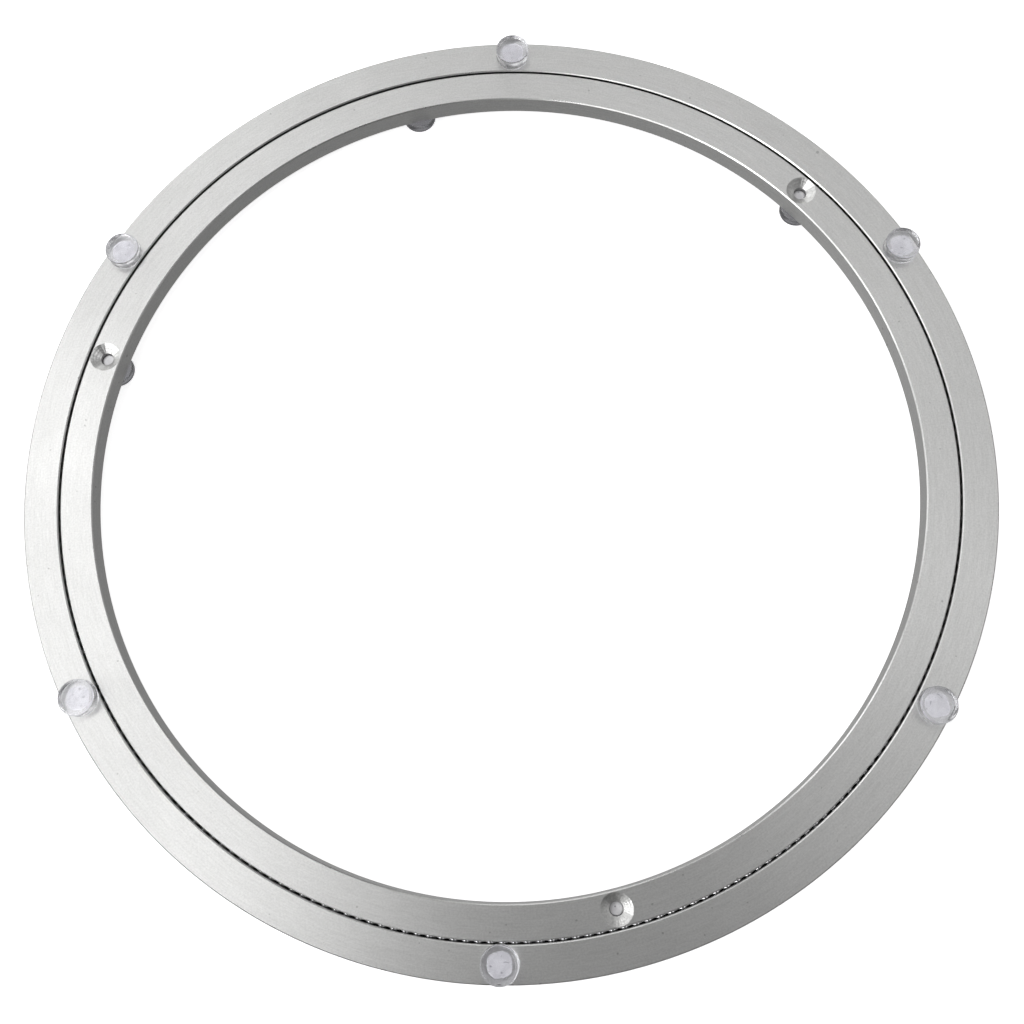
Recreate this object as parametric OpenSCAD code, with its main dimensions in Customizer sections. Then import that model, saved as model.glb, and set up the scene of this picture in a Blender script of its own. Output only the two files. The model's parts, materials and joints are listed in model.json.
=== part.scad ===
// Ball bearing turntable ring.
// Two flush aluminium rings turn on one full row of steel balls. The inner ring stands on six clear
// feet and has three countersunk screw holes; the outer ring turns and carries six clear grip pads.
// Millimetres, +Z up, origin on the axis of rotation at the level of the feet's undersides.

/* [Rings] */
// Diameter over the outer ring
outer_d = 350; // [346:0.5:360]
// Diameter of the open centre
bore_d = 300; // [290:0.5:302]
// Diameter of the circle that the ball centres run on
ball_circle_d = 324.3; // [323:0.1:326]
// Height of both rings
ring_h = 8.5; // [8:0.1:12]
// Width of the slot between the rings
slot_w = 0.8; // [0.4:0.05:1.2]
// Bevel along the edges of the rings
edge_bevel = 0.4; // [0.2:0.05:0.6]

/* [Balls] */
// Diameter of a ball
ball_d = 3.969; // [3.5:0.001:4.2]
// Least space between neighbouring balls
ball_space = 0.06; // [0.02:0.01:0.3]
// Space between a ball and the groove that it runs in
race_space = 0.13; // [0.05:0.01:0.2]

/* [Ball filler hole] */
// Diameter of the hole that the balls are loaded through
filler_d = 4.5; // [4.4:0.1:5.5]
// Turn of the filler hole from the X axis
filler_turn = 51.7; // [47:0.1:56]
// Space between the filler plug and its hole
plug_fit = 0.02; // [0.01:0.01:0.05]

/* [Screw holes] */
// Number of screw holes in the inner ring
screw_count = 3; // [2:1:6]
// Diameter of the circle that the screw holes lie on
screw_circle_d = 312; // [311:0.1:312.4]
// Diameter of a screw hole
screw_hole_d = 4.8; // [4:0.1:5.5]
// Diameter of a countersink at the top face
countersink_d = 11; // [8:0.1:11]
// Depth of a countersink
countersink_h = 2.3; // [1.5:0.1:3]
// Turn of the first screw hole from the X axis
screw_turn = 36; // [0:0.5:60]

/* [Pads and feet] */
// Diameter of a pad or foot
pad_d = 12.7; // [10:0.1:12.8]
// Height of a pad or foot without its adhesive
pad_h = 4.6; // [3:0.1:6]
// Radius of the rounded rim of a pad or foot
pad_rim_r = 0.8; // [0.3:0.1:1.5]
// Diameter of an adhesive disc
adhesive_d = 9.4; // [6:0.1:9.9]
// Thickness of an adhesive disc
adhesive_t = 0.2; // [0.1:0.05:0.4]
// Diameter of the circle that the pads lie on
pad_circle_d = 337.4; // [336:0.1:339]
// Turn of the first pad from the X axis
pad_turn = 21.7; // [0:0.1:60]
// Diameter of the circle that the feet lie on
foot_circle_d = 311.6; // [311:0.1:312]
// Turn of the first foot from the X axis
foot_turn = 35.5; // [0:0.1:60]

/* [Hidden] */
$fn = 96;

// How far each hand-placed pad and foot sits from its even spacing: [turn in degrees, outwards in mm]
PAD_SHIFT = [[-0.1, 0.9], [-0.4, 0.6], [0, 0.2], [0, 0], [0.2, -0.2], [0, 0.5]];
FOOT_SHIFT = [[0, -0.6], [-0.1, -1.1], [0.7, -0.4], [0, 1.8], [0, 1.2], [0, 1.8]];

// The row of balls is kept as equal arcs, one node for each
BALL_ARCS = 12;

// Levels above the surface that the feet stand on
ring_z = pad_h + adhesive_t;
top_z = ring_z + ring_h;
ball_z = ring_z + ring_h / 2;

// Walls on each side of the slot
inner_wall_r = (ball_circle_d - slot_w) / 2;
outer_wall_r = (ball_circle_d + slot_w) / 2;

// Groove radius, and the number of balls that fit the circle as equal arcs
race_r = ball_d / 2 + race_space;
ball_arc_count = floor(180 / asin((ball_d + ball_space) / ball_circle_d) / BALL_ARCS);
ball_step = 360 / (ball_arc_count * BALL_ARCS);

// How much wider the countersink gets on each side for each millimetre upwards
countersink_slope = (countersink_d - screw_hole_d) / 2 / countersink_h;

// The filler plug stops just behind the groove and just under the rim of the outer ring
plug_from = ball_circle_d / 2 + race_r + 0.1;
plug_to = outer_d / 2 - 0.5;
plug_slot_w = 0.9;
plug_slot_depth = 1.2;

// How far cutting shapes run past the faces that they cut
overcut = 1;

// Half section of a ring between two radii, with bevelled edges and half of the ball groove
module ring_profile(from_r, to_r) {
    difference() {
        polygon([
            [from_r + edge_bevel, 0],
            [to_r - edge_bevel, 0],
            [to_r, edge_bevel],
            [to_r, ring_h - edge_bevel],
            [to_r - edge_bevel, ring_h],
            [from_r + edge_bevel, ring_h],
            [from_r, ring_h - edge_bevel],
            [from_r, edge_bevel]
        ]);
        translate([ball_circle_d / 2, ring_h / 2]) circle(r = race_r);
    }
}

// One countersunk screw hole through a ring that stands on z = 0
module screw_hole() {
    translate([0, 0, -overcut]) cylinder(d = screw_hole_d, h = ring_h + 2 * overcut);
    translate([0, 0, ring_h - countersink_h])
        cylinder(
            d1 = screw_hole_d,
            d2 = countersink_d + 2 * countersink_slope * overcut,
            h = countersink_h + overcut
        );
}

// Cylinder that lies along a radius of the rings at the level of the balls
module radial_cylinder(d, from_r, to_r) {
    rotate([0, 0, filler_turn]) translate([from_r, 0, ball_z]) rotate([0, 90, 0])
        cylinder(d = d, h = to_r - from_r);
}

module inner_ring() {
    color([0.78, 0.78, 0.77]) translate([0, 0, ring_z]) difference() {
        rotate_extrude($fn = 360) ring_profile(bore_d / 2, inner_wall_r);
        for (k = [0 : screw_count - 1])
            rotate([0, 0, screw_turn + k * 360 / screw_count])
                translate([screw_circle_d / 2, 0, 0]) screw_hole();
    }
}

module outer_ring() {
    color([0.78, 0.78, 0.77]) difference() {
        translate([0, 0, ring_z]) rotate_extrude($fn = 360) ring_profile(outer_wall_r, outer_d / 2);
        radial_cylinder(filler_d, ball_circle_d / 2, outer_d / 2 + overcut);
    }
}

// Headless slotted plug that closes the filler hole
module ball_filler_plug() {
    color([0.6, 0.6, 0.6]) difference() {
        radial_cylinder(filler_d - 2 * plug_fit, plug_from, plug_to);
        rotate([0, 0, filler_turn])
            translate([plug_to - plug_slot_depth, -filler_d, ball_z - plug_slot_w / 2])
                cube([plug_slot_depth + overcut, 2 * filler_d, plug_slot_w]);
    }
}

// One arc of the row of balls, as separate balls
module bearing_balls(arc) {
    color([0.85, 0.85, 0.87])
        for (k = [0 : ball_arc_count - 1])
            rotate([0, 0, ((arc - 1) * ball_arc_count + k + 0.5) * ball_step])
                translate([ball_circle_d / 2, 0, ball_z]) sphere(d = ball_d);
}

// Clear round bumper standing on z = 0, with a rounded upper rim
module bumper() {
    color([0.86, 0.86, 0.92, 0.5]) rotate_extrude() {
        square([pad_d / 2, pad_h - pad_rim_r]);
        square([pad_d / 2 - pad_rim_r, pad_h]);
        translate([pad_d / 2 - pad_rim_r, pad_h - pad_rim_r]) circle(r = pad_rim_r);
    }
}

module adhesive_disc() {
    color([0.93, 0.93, 0.96]) cylinder(d = adhesive_d, h = adhesive_t);
}

// Moves its children to seat k of an even circle, with that seat's hand-placed shift
module at_seat(k, turn, circle_d, shifts) {
    shift = shifts[k - 1];
    rotate([0, 0, turn + (k - 1) * 360 / len(shifts) + shift[0]])
        translate([circle_d / 2 + shift[1], 0, 0]) children();
}

module top_pad(k) {
    at_seat(k, pad_turn, pad_circle_d, PAD_SHIFT) translate([0, 0, top_z + adhesive_t]) bumper();
}

module top_pad_adhesive(k) {
    at_seat(k, pad_turn, pad_circle_d, PAD_SHIFT) translate([0, 0, top_z]) adhesive_disc();
}

module foot(k) {
    at_seat(k, foot_turn, foot_circle_d, FOOT_SHIFT) translate([0, 0, pad_h]) mirror([0, 0, 1]) bumper();
}

module foot_adhesive(k) {
    at_seat(k, foot_turn, foot_circle_d, FOOT_SHIFT) translate([0, 0, pad_h]) adhesive_disc();
}

inner_ring();
outer_ring();
ball_filler_plug();
for (k = [1 : BALL_ARCS])
    bearing_balls(k);
for (k = [1 : len(PAD_SHIFT)]) {
    top_pad(k);
    top_pad_adhesive(k);
}
for (k = [1 : len(FOOT_SHIFT)]) {
    foot(k);
    foot_adhesive(k);
}
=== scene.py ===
import json
import math
import random

import bpy
from mathutils import Matrix, Vector


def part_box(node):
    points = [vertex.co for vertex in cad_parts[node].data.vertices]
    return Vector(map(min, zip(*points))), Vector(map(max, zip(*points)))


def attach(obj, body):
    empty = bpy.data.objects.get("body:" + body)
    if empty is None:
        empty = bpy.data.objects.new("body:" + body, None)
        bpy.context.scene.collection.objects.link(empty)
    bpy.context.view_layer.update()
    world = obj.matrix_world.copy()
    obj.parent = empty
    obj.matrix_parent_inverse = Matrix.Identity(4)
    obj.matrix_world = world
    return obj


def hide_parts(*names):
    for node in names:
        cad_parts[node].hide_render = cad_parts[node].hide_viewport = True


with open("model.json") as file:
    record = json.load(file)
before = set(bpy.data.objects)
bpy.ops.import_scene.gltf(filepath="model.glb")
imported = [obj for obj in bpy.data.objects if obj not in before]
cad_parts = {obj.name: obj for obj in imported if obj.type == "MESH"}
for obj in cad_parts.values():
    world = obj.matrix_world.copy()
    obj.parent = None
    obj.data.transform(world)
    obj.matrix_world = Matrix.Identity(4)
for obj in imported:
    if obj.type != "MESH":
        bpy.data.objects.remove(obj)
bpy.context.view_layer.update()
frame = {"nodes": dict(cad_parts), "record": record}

MM = 0.001

# ---------------------------------------------------------------- places, from the frame


def radii(node):
    """Least and greatest distance of a CAD node's points from the axis of rotation."""
    far = [math.hypot(v.co.x, v.co.y) for v in frame["nodes"][node].data.vertices]
    return min(far), max(far)


mounts = {m["name"]: m for m in frame["record"]["mounts"]}
screws = mounts["base_screw_holes"]["dims"]

RING_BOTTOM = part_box("inner_ring")[0][2]
RING_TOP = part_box("inner_ring")[1][2]
RING_MIDDLE = (RING_BOTTOM + RING_TOP) / 2
BORE_R, INNER_WALL_R = radii("inner_ring")
OUTER_WALL_R, OUTER_R = radii("outer_ring")
BALL_CIRCLE_R = (INNER_WALL_R + OUTER_WALL_R) / 2
BALL_R = (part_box("bearing_balls_1")[1][2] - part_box("bearing_balls_1")[0][2]) / 2
RACE_SPACE = 0.13 * MM
GROOVE_R = BALL_R + RACE_SPACE
SCREW_CIRCLE_R = screws["pcd_mm"] / 2 * MM
SCREW_HOLE_R = screws["hole_r_mm"] * MM
SCREW_COUNT = screws["count"]
SCREW_TURN = math.radians(36)
COUNTERSINK_R = 5.5 * MM
COUNTERSINK_H = 2.3 * MM
EDGE_BEVEL = 0.4 * MM
# Radius that softens both corners of a bevel
BEVEL_EASE = 0.08 * MM
FILLER_R = 2.25 * MM
# A clear plug sits in each screw hole, this far under the countersink
HOLE_PLUG_DROP = 1.6 * MM
HOLE_PLUG_H = 2.5 * MM
# Space between that plug and its hole
HOLE_PLUG_FIT = 0.02 * MM

TOP_PADS = [f"top_pad_{k}" for k in range(1, 7)]
FEET = [f"foot_{k}" for k in range(1, 7)]
BALL_ARCS = [f"bearing_balls_{k}" for k in range(1, 13)]

# ---------------------------------------------------------------- camera and studio

CAMERA_LENS = 39.64
CAMERA_PLACE = Vector((0.00033, -0.11683, RING_TOP + 0.38960))
CAMERA_TILT = math.radians(14.286)
CAMERA_ROLL = math.radians(-7.945)


def add_camera():
    data = bpy.data.cameras.new("camera")
    data.lens = CAMERA_LENS
    data.sensor_width = 36
    data.clip_start = 0.01
    data.clip_end = 100
    camera = bpy.data.objects.new("camera", data)
    turn = Matrix.Rotation(CAMERA_TILT, 4, "X") @ Matrix.Rotation(CAMERA_ROLL, 4, "Z")
    camera.matrix_world = Matrix.Translation(CAMERA_PLACE) @ turn
    bpy.context.scene.collection.objects.link(camera)
    bpy.context.scene.camera = camera


# Round soft lamps on a dome over the object. Each elevation has azimuths and their watts, with
# azimuth 0 towards +X and 90 towards +Y. The front is left dark, where the camera stands.
SOFTBOXES = {
    12: {90: 0.7, 120: 1.15, 150: 0.6, 180: 2.4},
    35: {180: 0.4, 210: 3.0, 240: 1.3},
    58: {0: 1.25, 36: 0.78, 72: 1.05, 108: 1.75, 144: 2.75, 180: 1.75, 216: 2.1, 324: 0.65},
    78: {72: 0.35, 144: 0.2, 288: 0.15},
}
SOFTBOX_DISTANCE = 1.5
SOFTBOX_SIZE = 0.5
# Grey of the room that the object reflects, from -1 straight down to 1 straight up
ROOM_GREYS = [(-1.0, 0.9), (-0.975, 0.9), (-0.93, 0.27), (-0.1, 0.25), (-0.03, 0.1), (0.06, 0.1), (0.25, 0.6),
              (0.7, 0.6), (0.82, 0.0)]
# Shares of that glow above the horizon: from the left to the right, and from the front to the back.
# Each changes over a span of the X or Y part of the direction looked in.
SIDE_SHARES, SIDE_SPAN = (1.15, 0.6), (-0.2, 0.4)
DEPTH_SHARES, DEPTH_SPAN = (0.3, 1.0), (-0.75, -0.25)
FLOOR_GLOW = 0.75
FLOOR_SIZE = 16
BACKDROP_R = 8


def add_softbox(name, azimuth, elevation, power):
    data = bpy.data.lights.new(name, "AREA")
    data.shape = "DISK"
    data.size = SOFTBOX_SIZE
    data.energy = power
    lamp = bpy.data.objects.new(name, data)
    a, e = math.radians(azimuth), math.radians(elevation)
    way = Vector((math.cos(e) * math.cos(a), math.cos(e) * math.sin(a), math.sin(e)))
    lamp.location = way * SOFTBOX_DISTANCE
    lamp.rotation_euler = way.to_track_quat("Z", "Y").to_euler()
    bpy.context.scene.collection.objects.link(lamp)


def make_world(world):
    """The room: grey below, a soft glow all round above the horizon, and dark overhead."""
    world.use_nodes = True
    nodes, links = world.node_tree.nodes, world.node_tree.links
    height = nodes.new("ShaderNodeSeparateXYZ")
    links.new(nodes.new("ShaderNodeTexCoord").outputs["Generated"], height.inputs[0])
    share = nodes.new("ShaderNodeMapRange")
    share.inputs[1].default_value, share.inputs[2].default_value = -1.0, 1.0
    links.new(height.outputs[2], share.inputs[0])
    ramp = nodes.new("ShaderNodeValToRGB")
    stops = ramp.color_ramp.elements
    while len(stops) < len(ROOM_GREYS):
        stops.new(0.5)
    for stop, (z, grey) in zip(stops, ROOM_GREYS):
        stop.position = (z + 1) / 2
        stop.color = (grey, grey, grey, 1)
    links.new(share.outputs[0], ramp.inputs[0])
    links.new(ramp.outputs[0], nodes["Background"].inputs["Color"])

    def share_along(axis, span, shares):
        made = nodes.new("ShaderNodeMapRange")
        for socket, value in zip(list(made.inputs)[1:5], span + shares):
            socket.default_value = value
        links.new(height.outputs[axis], made.inputs[0])
        return made.outputs[0]

    glow = nodes.new("ShaderNodeMath")
    glow.operation = "MULTIPLY"
    links.new(share_along(0, SIDE_SPAN, SIDE_SHARES), glow.inputs[0])
    links.new(share_along(1, DEPTH_SPAN, DEPTH_SHARES), glow.inputs[1])
    below = nodes.new("ShaderNodeMath")
    below.operation = "LESS_THAN"
    below.inputs[1].default_value = 0.0
    links.new(height.outputs[2], below.inputs[0])
    strength = nodes.new("ShaderNodeMath")
    strength.operation = "MAXIMUM"
    links.new(glow.outputs[0], strength.inputs[0])
    links.new(below.outputs[0], strength.inputs[1])
    links.new(strength.outputs[0], nodes["Background"].inputs["Strength"])


def make_floor():
    """A white table that glows. Metal and clear pieces show the grey of the room instead of it."""
    bpy.ops.mesh.primitive_plane_add(size=FLOOR_SIZE)
    floor = bpy.context.object
    floor.name = "floor"
    s = Shader("floor_paint")
    white = (0.95, 0.95, 0.95, 1)
    floor.data.materials.append(s.finish(s.principled(
        Base_Color=white, Roughness=0.9, Specular_IOR_Level=0.1,
        Emission_Color=white, Emission_Strength=FLOOR_GLOW)))
    floor.visible_glossy = False
    floor.visible_transmission = False


def make_backdrop():
    """A white dome behind everything, which only the camera sees."""
    bpy.ops.mesh.primitive_uv_sphere_add(segments=48, ring_count=24, radius=BACKDROP_R)
    dome = bpy.context.object
    dome.name = "backdrop"
    s = Shader("backdrop_paint")
    dome.data.materials.append(s.finish(s.principled(
        Base_Color=(0, 0, 0, 1), Roughness=1.0, Emission_Color=(1, 1, 1, 1), Emission_Strength=1.0)))
    dome.visible_glossy = False
    dome.visible_diffuse = False
    dome.visible_transmission = False
    dome.visible_shadow = False


# ---------------------------------------------------------------- shader helpers


class Shader:
    """A material and short ways to add nodes to it. Inputs may be numbers, tuples or output sockets."""

    def __init__(self, name):
        self.material = bpy.data.materials.new(name)
        self.material.use_nodes = True
        self.tree = self.material.node_tree
        self.tree.nodes.clear()
        self.output = self.tree.nodes.new("ShaderNodeOutputMaterial")

    def put(self, socket, value):
        if isinstance(value, bpy.types.NodeSocket):
            self.tree.links.new(value, socket)
        elif value is not None:
            socket.default_value = value

    def node(self, kind, inputs=None, **settings):
        made = self.tree.nodes.new("ShaderNode" + kind)
        for key, value in settings.items():
            setattr(made, key, value)
        for key, value in (inputs or {}).items():
            self.put(made.inputs[key], value)
        return made

    def math(self, operation, a, b=None):
        made = self.node("Math", operation=operation)
        for socket, value in zip(made.inputs, (a, b)):
            self.put(socket, value)
        return made.outputs[0]

    def object_point(self):
        return self.node("TexCoord").outputs["Object"]

    def split(self, vector):
        return self.node("SeparateXYZ", {0: vector}).outputs

    def join(self, x, y, z):
        return self.node("CombineXYZ", {0: x, 1: y, 2: z}).outputs[0]

    def noise(self, vector, scale, detail=2.0):
        return self.node("TexNoise", {"Vector": vector, "Scale": scale, "Detail": detail}).outputs["Fac"]

    def spread(self, value, low, high, to_low, to_high, smooth=True):
        """value from low..high to to_low..to_high, held at the ends."""
        made = self.node("MapRange", {0: value, 1: low, 2: high, 3: to_low, 4: to_high})
        made.interpolation_type = "SMOOTHSTEP" if smooth else "LINEAR"
        return made.outputs[0]

    def blend(self, share, a, b):
        """Colour a where share is 0 and colour b where it is 1."""
        made = self.node("Mix", data_type="RGBA")
        self.put(made.inputs[0], share)
        self.put(made.inputs[6], a)
        self.put(made.inputs[7], b)
        return made.outputs[2]

    def bump(self, height, distance):
        return self.node("Bump", {"Height": height, "Distance": distance, "Strength": 1.0}).outputs[0]

    def principled(self, **inputs):
        made = self.node("BsdfPrincipled")
        for key, value in inputs.items():
            self.put(made.inputs[key.replace("_", " ")], value)
        return made.outputs[0]

    def finish(self, surface):
        self.put(self.output.inputs["Surface"], surface)
        return self.material


# ---------------------------------------------------------------- materials

ALUMINIUM = (0.7, 0.7, 0.692)
ALUMINIUM_DARK = (0.56, 0.56, 0.553)
RING_ROUGHNESS = 0.42
RING_STRETCH = 0.7
# Painted highlight: the bevels are coloured this many times lighter than the faces
BEVEL_PAINTED_HIGHLIGHT = 1.2


def turned_aluminium(name, lighter, roughness, stretch):
    """Satin aluminium with fine marks of the lathe round the axis, grit and a few dark specks."""
    s = Shader(name)
    point = s.object_point()
    x, y, z = s.split(point)
    r = s.math("SQRT", s.math("ADD", s.math("MULTIPLY", x, x), s.math("MULTIPLY", y, y)))
    ux, uy = s.math("DIVIDE", x, r), s.math("DIVIDE", y, r)

    def marks(per_turn, width):
        """Noise drawn out along the turn: per_turn cells to a radian, each width metres wide."""
        across = s.math("MULTIPLY", s.math("ADD", r, z), 1 / width)
        stretched = s.join(s.math("MULTIPLY", ux, per_turn), s.math("MULTIPLY", uy, per_turn), across)
        return s.noise(stretched, 1.0)

    fine = marks(40, 0.16 * MM)
    broad = marks(12, 0.7 * MM)
    grit = s.noise(point, 1500, 3.0)
    cloud = s.noise(point, 60, 3.0)
    tone = s.math("ADD", s.math("MULTIPLY", fine, 0.35), s.math("MULTIPLY", broad, 0.2))
    tone = s.math("ADD", tone, s.math("MULTIPLY", grit, 0.45))
    # lighter above 1 is a painted highlight, as on the bevels
    light = tuple(lighter * c for c in ALUMINIUM) + (1,)
    dark = tuple(lighter * c for c in ALUMINIUM_DARK) + (1,)
    colour = s.blend(s.spread(tone, 0.36, 0.64, 0, 1, False), dark, light)
    speck = s.spread(s.noise(point, 520, 0.0), 0.83, 0.87, 0, 0.5)
    colour = s.blend(speck, colour, tuple(0.45 * c for c in dark[:3]) + (1,))
    rough = s.math("ADD", s.math("MULTIPLY", cloud, 0.06), roughness - 0.03)
    normal = s.bump(s.math("ADD", fine, s.math("MULTIPLY", grit, 0.6)), 0.003 * MM)
    tangent = s.node("Tangent", direction_type="RADIAL", axis="Z").outputs[0]
    return s.finish(s.principled(
        Base_Color=colour, Metallic=1.0, Roughness=rough, Anisotropic=stretch,
        Anisotropic_Rotation=0.25, Normal=normal, Tangent=tangent))


def simple_metal(name, colour, roughness, grain_scale=3000):
    """Metal with a fine grain in its colour and roughness."""
    s = Shader(name)
    grain = s.noise(s.object_point(), grain_scale, 3.0)
    dark = tuple(0.8 * c for c in colour) + (1,)
    return s.finish(s.principled(
        Base_Color=s.blend(s.spread(grain, 0.3, 0.7, 0, 1), dark, colour + (1,)),
        Metallic=1.0, Roughness=s.math("ADD", s.math("MULTIPLY", grain, 0.08), roughness)))


def clear_urethane(name, tint, shade):
    """Clear moulded plastic of a tint, which dims the light that falls through it by shade."""
    s = Shader(name)
    cloud = s.noise(s.object_point(), 400, 2.0)
    colour = s.blend(cloud, tuple(0.97 * c for c in tint) + (1,), tint + (1,))
    ripple = s.bump(s.noise(s.object_point(), 350, 1.0), 0.02 * MM)
    body = s.principled(Base_Color=colour, Roughness=0.12, IOR=1.5, Transmission_Weight=1.0, Normal=ripple)
    lets_light = s.node("BsdfTransparent", {"Color": shade + (1,)}).outputs[0]
    shadow = s.node("LightPath").outputs["Is Shadow Ray"]
    return s.finish(s.node("MixShader", {0: shadow, 1: body, 2: lets_light}).outputs[0])


def white_adhesive(name, whiteness, silvery):
    """Clear adhesive made white and silvery by the air under it, with dark bubbles."""
    s = Shader(name)
    point = s.object_point()
    cloud = s.noise(point, 420, 3.0)
    light = tuple(whiteness * c for c in (0.96, 0.955, 0.97)) + (1,)
    dark = tuple(whiteness * c for c in (0.84, 0.835, 0.855)) + (1,)
    colour = s.blend(s.spread(cloud, 0.35, 0.65, 0, 1), dark, light)
    bubble = s.spread(s.noise(point, 1000, 0.0), 0.74, 0.79, 0, 0.7)
    colour = s.blend(bubble, colour, (0.25, 0.25, 0.28, 1))
    wrinkles = s.bump(s.noise(point, 1500, 3.0), 0.02 * MM)
    return s.finish(s.principled(
        Base_Color=colour, Metallic=silvery, Roughness=0.45, Normal=wrinkles))


# ---------------------------------------------------------------- mesh helpers

RING_SEGMENTS = 720
# How deep the tool's chatter and its rings are in a countersink, and how many rings it leaves
CHATTER = 0.03 * MM
TOOL_RING_DEPTH = 0.03 * MM
TOOL_RINGS = 4
# Slack when faces are told apart by where they lie
SLACK = 0.01 * MM


def lathe(profile, segments):
    """Vertices and faces of a closed profile of (r, z) points turned about Z."""
    points, faces = [], []
    n = len(profile)
    for i in range(segments):
        a = 2 * math.pi * i / segments
        points += [(r * math.cos(a), r * math.sin(a), z) for r, z in profile]
    for i in range(segments):
        j = (i + 1) % segments
        for k in range(n):
            m = (k + 1) % n
            faces.append((i * n + k, j * n + k, j * n + m, i * n + m))
    return points, faces


def turned_solid(profile, segments):
    """Vertices and faces of a solid turned about Z, whose profile starts and ends on the axis."""
    middle = profile[1:-1]
    n = len(middle)
    points = [(0, 0, profile[0][1]), (0, 0, profile[-1][1])]
    for i in range(segments):
        a = 2 * math.pi * i / segments
        points += [(r * math.cos(a), r * math.sin(a), z) for r, z in middle]
    faces = []
    for i in range(segments):
        here, there = 2 + i * n, 2 + (i + 1) % segments * n
        faces.append((0, there, here))
        faces += [(here + k, there + k, there + k + 1, here + k + 1) for k in range(n - 1)]
        faces.append((1, here + n - 1, there + n - 1))
    return points, faces


def make_piece(name, points, faces, materials, sharp_above=30):
    """A mesh object. Edges stay sharp where the faces turn by more than sharp_above degrees."""
    mesh = bpy.data.meshes.new(name)
    mesh.from_pydata(points, [], faces)
    for m in materials:
        mesh.materials.append(m)
    piece = bpy.data.objects.new(name, mesh)
    bpy.context.scene.collection.objects.link(piece)
    smooth(mesh, sharp_above)
    return piece


def smooth(mesh, sharp_above):
    mesh.polygons.foreach_set("use_smooth", [True] * len(mesh.polygons))
    mesh.set_sharp_from_angle(angle=math.radians(sharp_above))
    mesh.update()


def eased(corners, radius, steps=3, support=0.05 * MM):
    """A closed outline with each corner that is marked True rounded, and a point either side of it."""
    made = []
    n = len(corners)
    for i, (r, z, ease) in enumerate(corners):
        p = Vector((r, z))
        if not ease:
            made.append((r, z))
            continue
        before = (Vector(corners[i - 1][:2]) - p).normalized()
        after = (Vector(corners[(i + 1) % n][:2]) - p).normalized()
        half = before.angle(after) / 2
        reach = radius / math.tan(half)
        centre = p + (before + after).normalized() * radius / math.sin(half)
        start, stop = p + before * reach, p + after * reach
        made.append(tuple(p + before * (reach + support)))
        for k in range(steps + 1):
            arm = (start - centre).lerp(stop - centre, k / steps).normalized() * radius
            made.append(tuple(centre + arm))
        made.append(tuple(p + after * (reach + support)))
    return made


def paint_faces(piece, index, belongs):
    """Gives one of the piece's materials to the faces for which belongs(centre, normal) is true."""
    for face in piece.data.polygons:
        if belongs(face.center, face.normal):
            face.material_index = index


def groove_arc(wall_r, side, steps=24):
    """Points of the ball groove in a wall, upwards. side is -1 for the inner ring and 1 for the outer."""
    lip = math.acos(abs(wall_r - BALL_CIRCLE_R) / GROOVE_R)
    made = []
    for k in range(steps + 1):
        a = -lip + 2 * lip * k / steps
        made.append((BALL_CIRCLE_R + side * GROOVE_R * math.cos(a), RING_MIDDLE + GROOVE_R * math.sin(a)))
    return made


def ring_outline(from_r, to_r, grooved_side):
    """Section of a ring. grooved_side is -1 where the outer wall has the groove, 1 where the inner has it."""
    b = EDGE_BEVEL
    low, high = RING_BOTTOM, RING_TOP
    outer_wall = [(to_r, low + b, True), (to_r, high - b, True)]
    inner_wall = [(from_r, high - b, True), (from_r, low + b, True)]
    if grooved_side < 0:
        arc = [(r, z, False) for r, z in groove_arc(to_r, -1)]
        outer_wall[1:1] = arc
    else:
        arc = [(r, z, False) for r, z in reversed(groove_arc(from_r, 1))]
        inner_wall[1:1] = arc
    bottom = [(from_r + b, low, True), (to_r - b, low, True)]
    top = [(to_r - b, high, True), (from_r + b, high, True)]
    return eased(bottom + outer_wall + top + inner_wall, BEVEL_EASE)


def cut(piece, cutters):
    """Takes the cutters away from the piece for good, and removes them."""
    for c in cutters:
        m = piece.modifiers.new("cut", "BOOLEAN")
        m.operation = "DIFFERENCE"
        m.solver = "EXACT"
        m.object = c
    bpy.context.view_layer.update()
    mesh = bpy.data.meshes.new_from_object(piece.evaluated_get(bpy.context.evaluated_depsgraph_get()))
    piece.modifiers.clear()
    old = piece.data
    piece.data = mesh
    bpy.data.meshes.remove(old)
    mesh.name = piece.name
    for c in cutters:
        bpy.data.objects.remove(c)
    smooth(mesh, 25)


def screw_place(k):
    """Where the axis of screw hole k, counted from 0, meets the floor."""
    a = SCREW_TURN + 2 * math.pi * k / SCREW_COUNT
    return Vector((SCREW_CIRCLE_R * math.cos(a), SCREW_CIRCLE_R * math.sin(a), 0))


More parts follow.
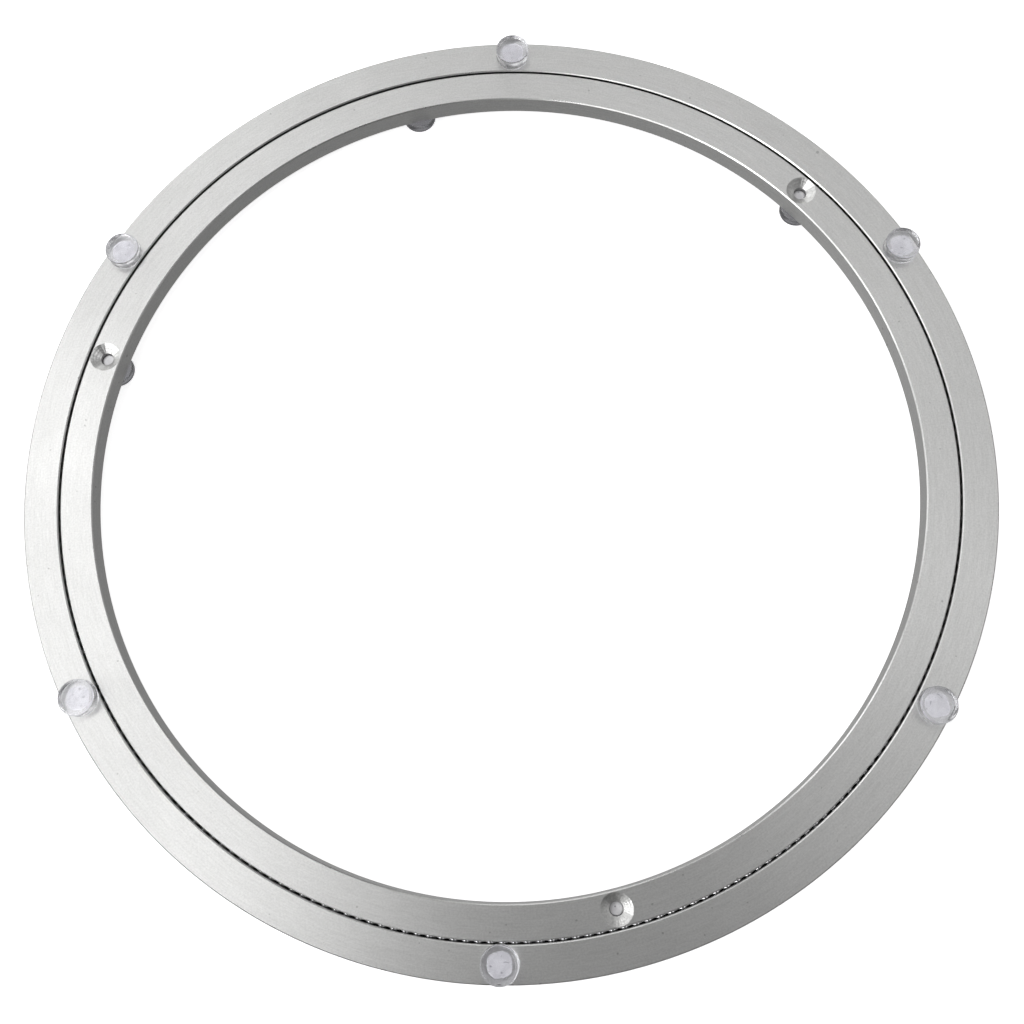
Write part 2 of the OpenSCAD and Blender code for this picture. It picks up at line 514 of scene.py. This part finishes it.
def screw_cutter(k):
    """The through hole and countersink of one screw, with the chatter and rings of the tool."""
    over = 0.5 * MM  # how far it runs past the ring
    low = RING_TOP - COUNTERSINK_H
    rise = COUNTERSINK_H + over
    widening = (COUNTERSINK_R - SCREW_HOLE_R) * rise / COUNTERSINK_H
    rings = 30
    segments = 180
    rng = random.Random(40 + k)
    waves = [(rng.choice(counts), rng.uniform(0, 6.28)) for counts in ((9, 11, 13), (21, 25, 29))]
    profile = [(SCREW_HOLE_R, RING_BOTTOM - over), (SCREW_HOLE_R, low)]
    profile += [(SCREW_HOLE_R + widening * i / rings, low + rise * i / rings) for i in range(1, rings + 1)]
    points, faces = [], []
    n = len(profile)
    for i in range(segments):
        a = 2 * math.pi * i / segments
        for j, (r, z) in enumerate(profile):
            share = max(0.0, (j - 1) / rings)
            chatter = CHATTER * sum(math.sin(w * a + p + 1.5 * share) for w, p in waves)
            groove = TOOL_RING_DEPTH * math.sin(2 * math.pi * TOOL_RINGS * share)
            rough_r = r + (chatter + groove) * min(1.0, 4 * share)
            points.append((rough_r * math.cos(a), rough_r * math.sin(a), z))
        h = (i + 1) % segments
        faces += [(i * n + j, h * n + j, h * n + j + 1, i * n + j + 1) for j in range(n - 1)]
    faces.append(tuple(i * n for i in reversed(range(segments))))
    faces.append(tuple(i * n + n - 1 for i in range(segments)))
    piece = make_piece(f"screw_cutter_{k}", points, faces, [])
    piece.data.transform(Matrix.Translation(screw_place(k)))
    return piece


def is_bevel(centre, normal):
    """The faces that slope, but not the flat faces and walls. They get a painted highlight."""
    return 0.25 < abs(normal.z) < 0.95


def in_race(centre, normal):
    """The walls of the slot and the ball groove, which are coloured dark grey as painted shade."""
    r = math.hypot(centre.x, centre.y)
    in_slot = INNER_WALL_R - SLACK < r < OUTER_WALL_R + SLACK
    return in_slot or math.hypot(r - BALL_CIRCLE_R, centre.z - RING_MIDDLE) < GROOVE_R + SLACK


def in_screw_hole(centre, normal):
    """The countersink and the wall of the hole under it."""
    flat = Vector((centre.x, centre.y, 0))
    near = min((flat - screw_place(k)).length for k in range(SCREW_COUNT)) < COUNTERSINK_R + 0.1 * MM
    return near and abs(normal.z) < 0.95


def in_straight_hole(centre, normal):
    """The wall of the hole only, which is coloured darker as painted shade."""
    return in_screw_hole(centre, normal) and abs(normal.z) < 0.5


def make_inner_ring(materials):
    points, faces = lathe(ring_outline(BORE_R, INNER_WALL_R, -1), RING_SEGMENTS)
    ring = make_piece("inner_ring_body", points, faces, materials)
    paint_faces(ring, 1, is_bevel)
    paint_faces(ring, 2, in_race)
    cut(ring, [screw_cutter(k) for k in range(SCREW_COUNT)])
    paint_faces(ring, 3, in_screw_hole)
    paint_faces(ring, 4, in_straight_hole)
    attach(ring, "base")
    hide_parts("inner_ring")


def filler_cutter():
    """The hole in the outer ring that the balls were loaded through."""
    low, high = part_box("ball_filler_plug")
    turn = math.atan2(low[1] + high[1], low[0] + high[0])
    sides = 96
    outline = [(FILLER_R * math.cos(2 * math.pi * i / sides), FILLER_R * math.sin(2 * math.pi * i / sides))
               for i in range(sides)]
    points = [(r, u, RING_MIDDLE + w) for r in (BALL_CIRCLE_R, OUTER_R + 1 * MM) for u, w in outline]
    faces = [(i, (i + 1) % sides, sides + (i + 1) % sides, sides + i) for i in range(sides)]
    faces += [tuple(reversed(range(sides))), tuple(range(sides, 2 * sides))]
    piece = make_piece("filler_cutter", points, faces, [])
    piece.data.transform(Matrix.Rotation(turn, 4, "Z"))
    return piece


def make_outer_ring(materials):
    points, faces = lathe(ring_outline(OUTER_WALL_R, OUTER_R, 1), RING_SEGMENTS)
    ring = make_piece("outer_ring_body", points, faces, materials)
    paint_faces(ring, 1, is_bevel)
    paint_faces(ring, 2, in_race)
    cut(ring, [filler_cutter()])
    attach(ring, "turntable")
    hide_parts("outer_ring")


# Outline of a clear bumper from the middle of its stuck side to the middle of its free side:
# how far in from the edge (0 at the edge, None on the axis) and how far up, in mm of a 4.6 mm height.
# It has a thin moulding lip, a waist, a rounded rim and a slightly dished face inside a raised ring.
BUMPER_OUTLINE = [
    (None, 0.02), (0.30, 0.02), (0.10, 0.04), (0.0, 0.12), (0.0, 0.30), (0.05, 0.36), (0.12, 0.42),
    (0.14, 0.7), (0.12, 1.6), (0.06, 2.8), (0.0, 3.7), (0.03, 4.02), (0.12, 4.28), (0.28, 4.46),
    (0.48, 4.56), (0.7, 4.6), (0.95, 4.585), (1.12, 4.54), (1.35, 4.50), (1.7, 4.485), (2.6, 4.475),
    (4.4, 4.47), (None, 4.47),
]


def make_bumper(node, body, material, free_side):
    """One clear bumper in place of its CAD node. free_side is 1 for a pad and -1 for a foot."""
    low, high = (Vector(c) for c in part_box(node))
    edge = (high.x - low.x) / 2
    profile = [(0.0 if inwards is None else edge - inwards * MM, up * MM) for inwards, up in BUMPER_OUTLINE]
    points, faces = turned_solid(profile, 96)
    if free_side < 0:
        points = [(x, -y, high.z - low.z - z) for x, y, z in points]
    piece = make_piece(f"{node}_moulding", points, faces, [material], 50)
    piece.data.transform(Matrix.Translation(((low.x + high.x) / 2, (low.y + high.y) / 2, low.z)))
    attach(piece, body)
    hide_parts(node)


def make_adhesive(node, body, seed, materials):
    """One adhesive patch in place of its CAD node, pressed flat, with four flatter sides, ragged."""
    low, high = (Vector(c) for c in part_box(node))
    rng = random.Random(seed)
    reach = (high.x - low.x) / 2 * 0.98
    thick = high.z - low.z
    waves = [(w, rng.uniform(0, 6.28), rng.uniform(0.005, 0.015)) for w in (3, 5, 8, 13, 21, 34)]
    flats = [(side * math.pi / 2 + rng.uniform(-0.2, 0.2), rng.uniform(0.86, 0.91)) for side in range(4)]
    rims = [rng.uniform(0, 6.28) for _ in range(2)]
    segments = 120

    def edge(a):
        """How far out the edge is at angle a."""
        share = 0.97 + sum(size * math.sin(w * a + turn) for w, turn, size in waves)
        for turn, near in flats:
            facing = math.cos(a - turn)
            if facing > 0.5:
                share = min(share, near / facing + 0.025 * math.sin(17 * a) + 0.015 * math.sin(29 * a))
        return reach * share

    # share of the way out and share of the thickness, round the section from the middle below
    section = [(0.5, 0.0), (0.97, 0.0), (1.0, 0.25), (1.0, 0.75), (0.985, 0.95), (0.95, 1.0), (0.91, 0.93),
               (0.85, 0.88), (0.6, 0.86), (0.3, 0.86)]
    points = [(0, 0, 0), (0, 0, 0.86 * thick)]
    faces = []
    n = len(section)
    for i in range(segments):
        a = 2 * math.pi * i / segments
        e = edge(a)
        points += [(e * out * math.cos(a), e * out * math.sin(a), up * thick) for out, up in section]
        here, there = 2 + i * n, 2 + (i + 1) % segments * n
        faces.append((0, there, here))
        faces += [(here + k, there + k, there + k + 1, here + k + 1) for k in range(n - 1)]
        faces.append((1, here + n - 1, there + n - 1))
    piece = make_piece(f"{node}_patch", points, faces, materials, 50)

    def on_painted_highlight_rim(centre, normal):
        """Two stretches of the edge that are coloured lighter, a painted highlight, and made more silvery."""
        a = math.atan2(centre.y, centre.x)
        near_rim = math.hypot(centre.x, centre.y) > 0.92 * edge(a)
        return near_rim and max(math.cos(a - turn) for turn in rims) > 0.7

    paint_faces(piece, 1, on_painted_highlight_rim)
    piece.data.transform(Matrix.Translation(((low.x + high.x) / 2, (low.y + high.y) / 2, low.z)))
    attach(piece, body)
    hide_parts(node)


def make_hole_plug(k, material):
    """The clear plug in screw hole k, with a bevelled top that is dished in the middle."""
    edge, tall = SCREW_HOLE_R - HOLE_PLUG_FIT, HOLE_PLUG_H
    profile = [(0.0, 0.0), (edge - 0.1 * MM, 0.0), (edge, 0.1 * MM),
               (edge, tall - 0.3 * MM), (edge - 0.12 * MM, tall - 0.08 * MM), (edge - 0.3 * MM, tall),
               (edge - 0.6 * MM, tall - 0.02 * MM), (edge * 0.5, tall - 0.12 * MM), (0.0, tall - 0.16 * MM)]
    points, faces = turned_solid(profile, 64)
    piece = make_piece(f"screw_hole_plug_{k + 1}", points, faces, [material], 50)
    foot = RING_TOP - COUNTERSINK_H - HOLE_PLUG_DROP - HOLE_PLUG_H
    piece.data.transform(Matrix.Translation(screw_place(k) + Vector((0, 0, foot))))
    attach(piece, "base")


def dress(node, material):
    """Puts a material on a CAD node."""
    piece = frame["nodes"][node]
    piece.data.materials.clear()
    piece.data.materials.append(material)


# ---------------------------------------------------------------- the object

# In the order of the material numbers that paint_faces is given: faces, bevels (painted highlight), race
# (painted shade), countersinks, holes (painted shade)
ring_metals = [
    turned_aluminium("turned_aluminium", 1.0, RING_ROUGHNESS, RING_STRETCH),
    # Painted highlight: the bevels are coloured lighter than the faces
    turned_aluminium("bevel_painted_highlight", BEVEL_PAINTED_HIGHLIGHT, 0.28, 0.3),
    # Painted shade: the slot and ball groove are coloured near black for the shade in them
    simple_metal("race_painted_shade", (0.17, 0.17, 0.165), 0.35),
    simple_metal("countersink_aluminium", (0.8, 0.8, 0.79), 0.3, 1400),
    # Painted shade: the walls of the screw holes are coloured dark grey
    simple_metal("hole_wall_painted_shade", (0.42, 0.42, 0.42), 0.4),
]
make_inner_ring(ring_metals)
make_outer_ring(ring_metals)

ball_steel = simple_metal("ball_steel", (0.82, 0.82, 0.84), 0.06)
for name in BALL_ARCS:
    dress(name, ball_steel)
dress("ball_filler_plug", simple_metal("plug_steel", (0.6, 0.6, 0.6), 0.3))

pad_urethane = clear_urethane("pad_urethane", (0.91, 0.91, 0.93), (0.76, 0.76, 0.78))
# Painted shade: the feet are tinted much darker than the pads, for the shade under the ring
foot_urethane = clear_urethane("foot_urethane", (0.68, 0.68, 0.72), (0.8, 0.8, 0.84))
# The second, lighter adhesive is a painted highlight on two stretches of each patch's edge
glue = [white_adhesive("adhesive", 0.76, 0.25), white_adhesive("adhesive_painted_highlight", 0.95, 0.6)]
milky_urethane = white_adhesive("milky_urethane", 0.78, 0.3)
for k in range(SCREW_COUNT):
    make_hole_plug(k, milky_urethane)
for k, name in enumerate(TOP_PADS):
    make_bumper(name, "turntable", pad_urethane, 1)
    make_adhesive(name.replace("pad", "pad_adhesive"), "turntable", 10 + k, glue)
for k, name in enumerate(FEET):
    make_bumper(name, "base", foot_urethane, -1)
    make_adhesive(name.replace("foot", "foot_adhesive"), "base", 20 + k, glue)

# ---------------------------------------------------------------- the studio

add_camera()

world = bpy.data.worlds.new("studio")
bpy.context.scene.world = world
make_world(world)
make_floor()
make_backdrop()
for elevation, powers in SOFTBOXES.items():
    for azimuth, power in powers.items():
        add_softbox(f"softbox_{elevation}_{azimuth}", azimuth, elevation, power)

bpy.context.scene.view_settings.view_transform = "Standard"
